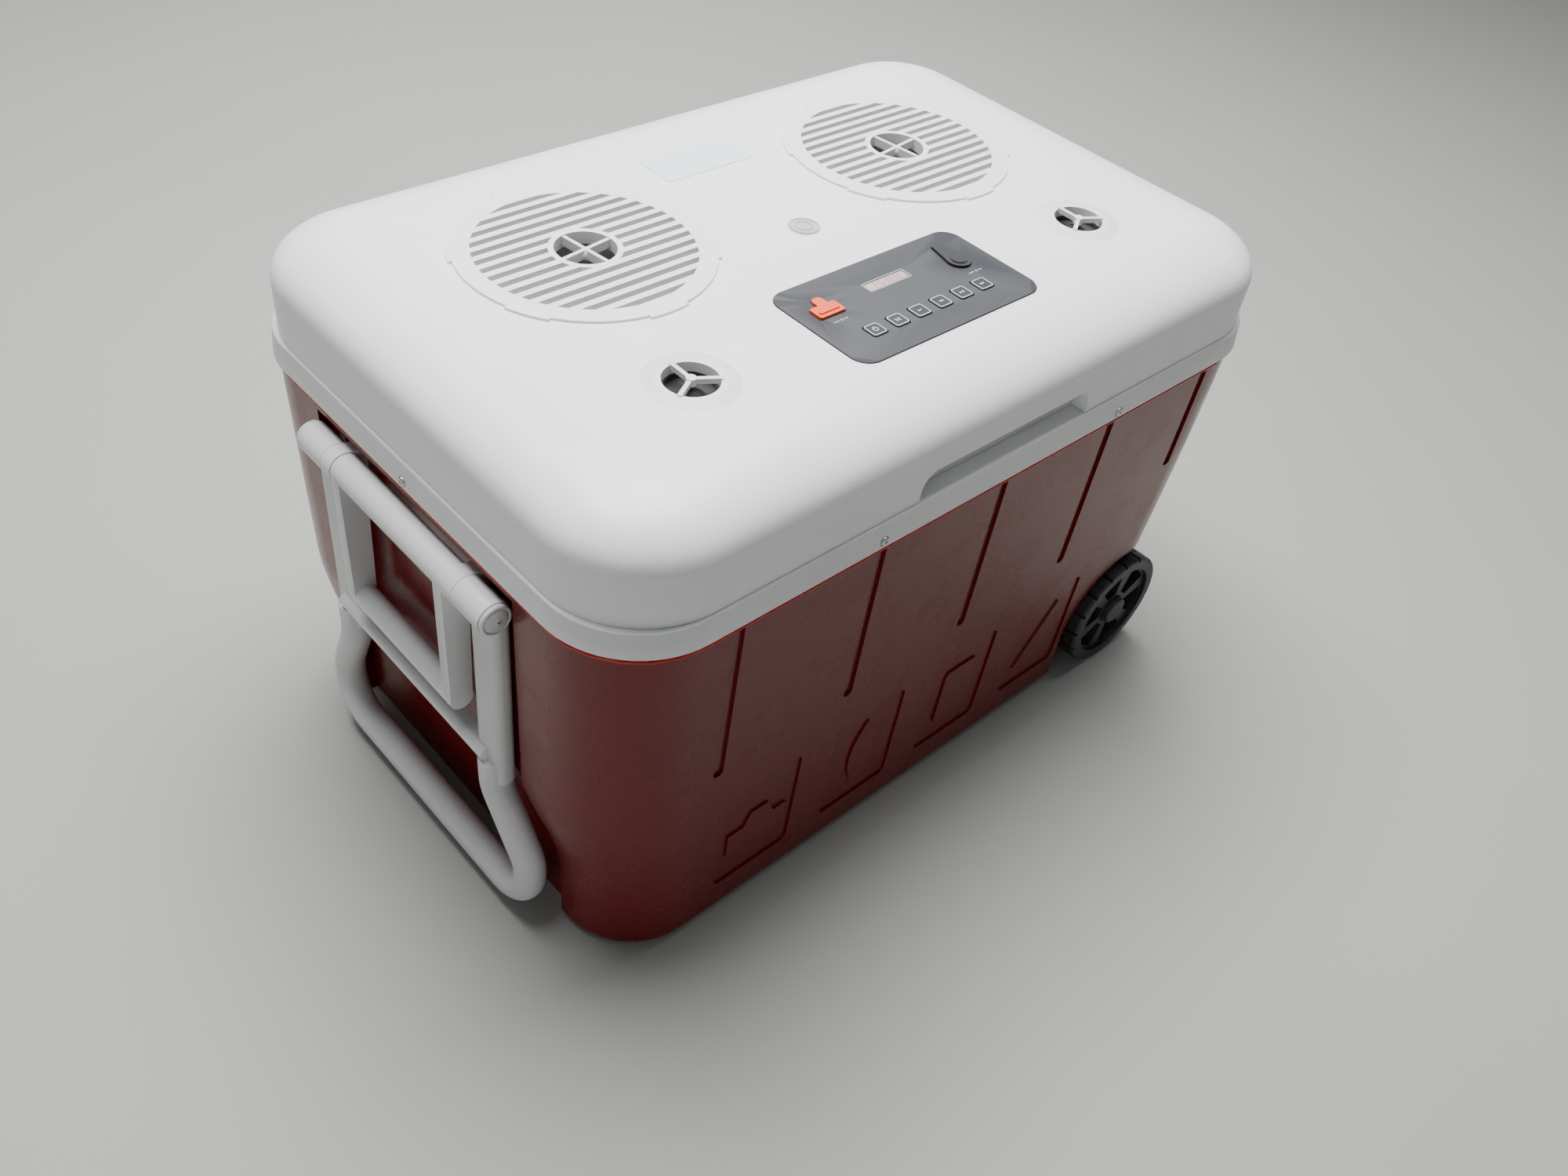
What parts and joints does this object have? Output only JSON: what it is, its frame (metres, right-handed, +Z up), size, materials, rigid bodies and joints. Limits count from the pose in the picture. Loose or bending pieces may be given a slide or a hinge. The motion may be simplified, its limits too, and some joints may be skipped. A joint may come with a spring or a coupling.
{
  "type": "wheeled hard cooler",
  "caption": "Wheeled hard-sided cooler with a hinged speaker lid, tow handle, carry handle and a stepped insulated tub.",
  "frame": {"origin": "on the floor, under the middle of the rim outline, on the flat underside of the box", "axes": "+Z up, +X from the handle end towards the wheels, -Y the front with the lid finger recess"},
  "size_m": [0.7184, 0.4751, 0.4437],
  "materials": {
    "lid_white": "satin moulded plastic",
    "rim_white": "satin moulded plastic",
    "shell_red": "semi-gloss moulded plastic, fine grain",
    "handle_white": "satin moulded plastic",
    "wheel_black": "moulded black plastic",
    "steel": "zinc plated",
    "foam": "rigid polyurethane foam",
    "gasket": "soft seal",
    "grille_white": "satin moulded plastic",
    "basket_black": "black paint",
    "cone_black": "pressed paper",
    "magnet": "ferrite",
    "panel_dark": "fine matte",
    "key_dark": "fine matte",
    "display": "clear window over a segment display",
    "board": "solder mask",
    "aluminium": "extruded",
    "battery_case": "moulded",
    "orange_rubber": "moulded rubber",
    "black_rubber": "moulded rubber",
    "label": "blank film label",
    "badge_grey": "plain disc"
  },
  "bodies": {
    "box": {"outer_shell": "shell_red", "insulation_foam": "foam", "inner_liner": "rim_white", "rim_screws": "steel", "bracket_screws": "steel", "handle_rod": "steel", "axle": "steel", "drain_spout": "rim_white", "hinge_body_screws": "steel", "handle_bracket_front": "handle_white", "handle_bracket_back": "handle_white", "hinge_body_leaf_left": "handle_white", "hinge_body_leaf_right": "handle_white", "hinge_pin_left": "steel", "hinge_pin_right": "steel"},
    "lid": {"lid_shell": "lid_white", "lid_liner": "rim_white", "lid_foam": "foam", "lid_gasket": "gasket", "hinge_lid_screws": "steel", "control_panel": "panel_dark", "display_window": "display", "circuit_board": "board", "tact_switches": "key_dark", "amplifier": "aluminium", "battery": "battery_case", "usb_socket": "steel", "aux_socket": "black_rubber", "name_plate": "label", "badge": "badge_grey", "hinge_lid_leaf_left": "handle_white", "woofer_grille_left": "grille_white", "woofer_basket_left": "basket_black", "woofer_cone_left": "cone_black", "woofer_magnet_left": "magnet", "tweeter_guard_left": "grille_white", "tweeter_left": "cone_black", "hinge_lid_leaf_right": "handle_white", "woofer_grille_right": "grille_white", "woofer_basket_right": "basket_black", "woofer_cone_right": "cone_black", "woofer_magnet_right": "magnet", "tweeter_guard_right": "grille_white", "tweeter_right": "cone_black"},
    "tow_handle": {"tow_handle": "handle_white"},
    "carry_handle": {"carry_handle": "handle_white"},
    "wheel_front": {"wheel_front": "wheel_black", "hub_cap_front": "wheel_black"},
    "wheel_back": {"wheel_back": "wheel_black", "hub_cap_back": "wheel_black"},
    "usb_cover": {"usb_cover": "orange_rubber"},
    "aux_cover": {"aux_cover": "black_rubber"},
    "drain_cap": {"drain_cap": "handle_white"},
    "key_power": {"key_power": "key_dark"},
    "key_mode": {"key_mode": "key_dark"},
    "key_tone": {"key_tone": "key_dark"},
    "key_back": {"key_back": "key_dark"},
    "key_play": {"key_play": "key_dark"},
    "key_next": {"key_next": "key_dark"}
  },
  "joints": [
    {"name": "lid_hinge", "type": "hinge", "parent": "box", "child": "lid", "pos_m": [0, 0.2376, 0.3675], "axis": [-1, 0, 0], "range_deg": [0, 95]},
    {"name": "tow_pivot", "type": "hinge", "parent": "box", "child": "tow_handle", "pos_m": [-0.355, 0, 0.32], "axis": [0, 1, 0], "range_deg": [0, 150]},
    {"name": "carry_pivot", "type": "hinge", "parent": "box", "child": "carry_handle", "pos_m": [-0.355, 0, 0.32], "axis": [0, 1, 0], "range_deg": [0, 100]},
    {"name": "wheel_front_spin", "type": "hinge", "parent": "box", "child": "wheel_front", "pos_m": [0.265, 0, 0.06], "axis": [0, 1, 0], "continuous": true},
    {"name": "wheel_back_spin", "type": "hinge", "parent": "box", "child": "wheel_back", "pos_m": [0.265, 0, 0.06], "axis": [0, 1, 0], "continuous": true},
    {"name": "usb_cover_hinge", "type": "hinge", "parent": "lid", "child": "usb_cover", "pos_m": [-0.068, -0.1055, 0.44265], "axis": [1, 0, 0], "range_deg": [0, 120]},
    {"name": "aux_cover_hinge", "type": "hinge", "parent": "lid", "child": "aux_cover", "pos_m": [0.063, -0.077, 0.44265], "axis": [-1, 0, 0], "range_deg": [0, 120]},
    {"name": "drain_cap_off", "type": "slide", "parent": "box", "child": "drain_cap", "axis": [0, 1, 0], "range_m": [0, 0.06]},
    {"name": "key_power_press", "type": "slide", "parent": "lid", "child": "key_power", "axis": [0, 0, -1], "range_m": [0, 0.0008], "stiffness_N_per_m": 900, "springref_m": -0.0006},
    {"name": "key_mode_press", "type": "slide", "parent": "lid", "child": "key_mode", "axis": [0, 0, -1], "range_m": [0, 0.0008], "stiffness_N_per_m": 900, "springref_m": -0.0006},
    {"name": "key_tone_press", "type": "slide", "parent": "lid", "child": "key_tone", "axis": [0, 0, -1], "range_m": [0, 0.0008], "stiffness_N_per_m": 900, "springref_m": -0.0006},
    {"name": "key_back_press", "type": "slide", "parent": "lid", "child": "key_back", "axis": [0, 0, -1], "range_m": [0, 0.0008], "stiffness_N_per_m": 900, "springref_m": -0.0006},
    {"name": "key_play_press", "type": "slide", "parent": "lid", "child": "key_play", "axis": [0, 0, -1], "range_m": [0, 0.0008], "stiffness_N_per_m": 900, "springref_m": -0.0006},
    {"name": "key_next_press", "type": "slide", "parent": "lid", "child": "key_next", "axis": [0, 0, -1], "range_m": [0, 0.0008], "stiffness_N_per_m": 900, "springref_m": -0.0006}
  ]
}
